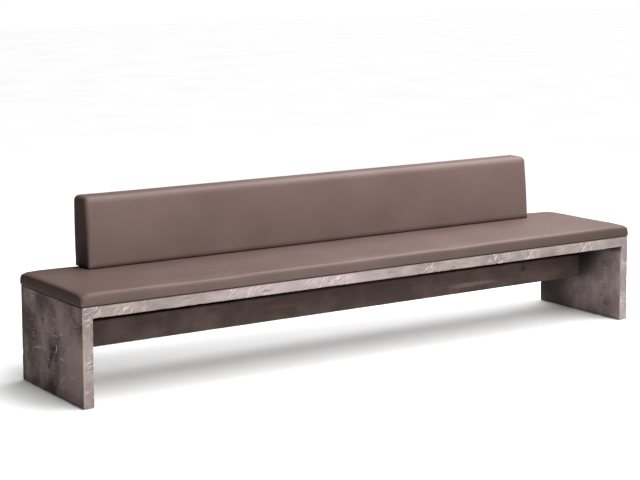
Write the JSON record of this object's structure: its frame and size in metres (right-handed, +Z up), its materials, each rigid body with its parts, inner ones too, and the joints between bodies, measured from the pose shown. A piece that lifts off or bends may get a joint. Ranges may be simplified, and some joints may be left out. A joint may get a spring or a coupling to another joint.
{
  "type": "upholstered banquette bench",
  "caption": "Long upholstered banquette bench: mitred rough-sawn wooden board frame with an under-seat rail, a full-length seat pad and a shorter backrest pad.",
  "frame": {"origin": "on the floor, under the centre of the bench", "axes": "+X along the bench to the sitter's left, -Y to the front, +Z up"},
  "size_m": [3.012, 0.6139, 0.7933],
  "materials": {
    "rough_sawn_wood": "matte",
    "rough_sawn_wood_dark": "matte",
    "rail_wood": "matte",
    "tenon_wood": "matte",
    "plywood": "matte",
    "zinc_steel": "satin",
    "fixing_steel": "satin",
    "post_steel": "matte",
    "insert_brass": "satin",
    "foam": "matte",
    "leather": "satin",
    "dust_lining": "matte",
    "glide_nylon": "matte"
  },
  "bodies": {
    "root": {"seat_board": "rough_sawn_wood", "left_end_panel": "rough_sawn_wood_dark", "right_end_panel": "rough_sawn_wood_dark", "under_seat_rail": "rail_wood", "left_mitre_tenons": "tenon_wood", "right_mitre_tenons": "tenon_wood", "left_rail_tenons": "tenon_wood", "right_rail_tenons": "tenon_wood", "rail_angles": "zinc_steel", "rail_angle_screws": "fixing_steel", "seat_pad_base": "plywood", "seat_pad_foam": "foam", "seat_pad_cover": "leather", "seat_pad_lining": "dust_lining", "seat_pad_tee_nuts": "fixing_steel", "seat_pad_bolts": "fixing_steel", "seat_pad_washers": "fixing_steel", "back_post_1": "post_steel", "back_post_2": "post_steel", "back_post_3": "post_steel", "back_post_4": "post_steel", "post_bolts": "fixing_steel", "post_inserts": "insert_brass", "post_keepers": "zinc_steel", "keeper_screws": "fixing_steel", "backrest_core": "plywood", "backrest_base": "plywood", "backrest_base_screws": "fixing_steel", "backrest_front_foam": "foam", "backrest_rear_foam": "foam", "backrest_cover": "leather", "backrest_lining": "dust_lining", "glides": "glide_nylon", "glide_nails": "fixing_steel"}
  },
  "joints": []
}
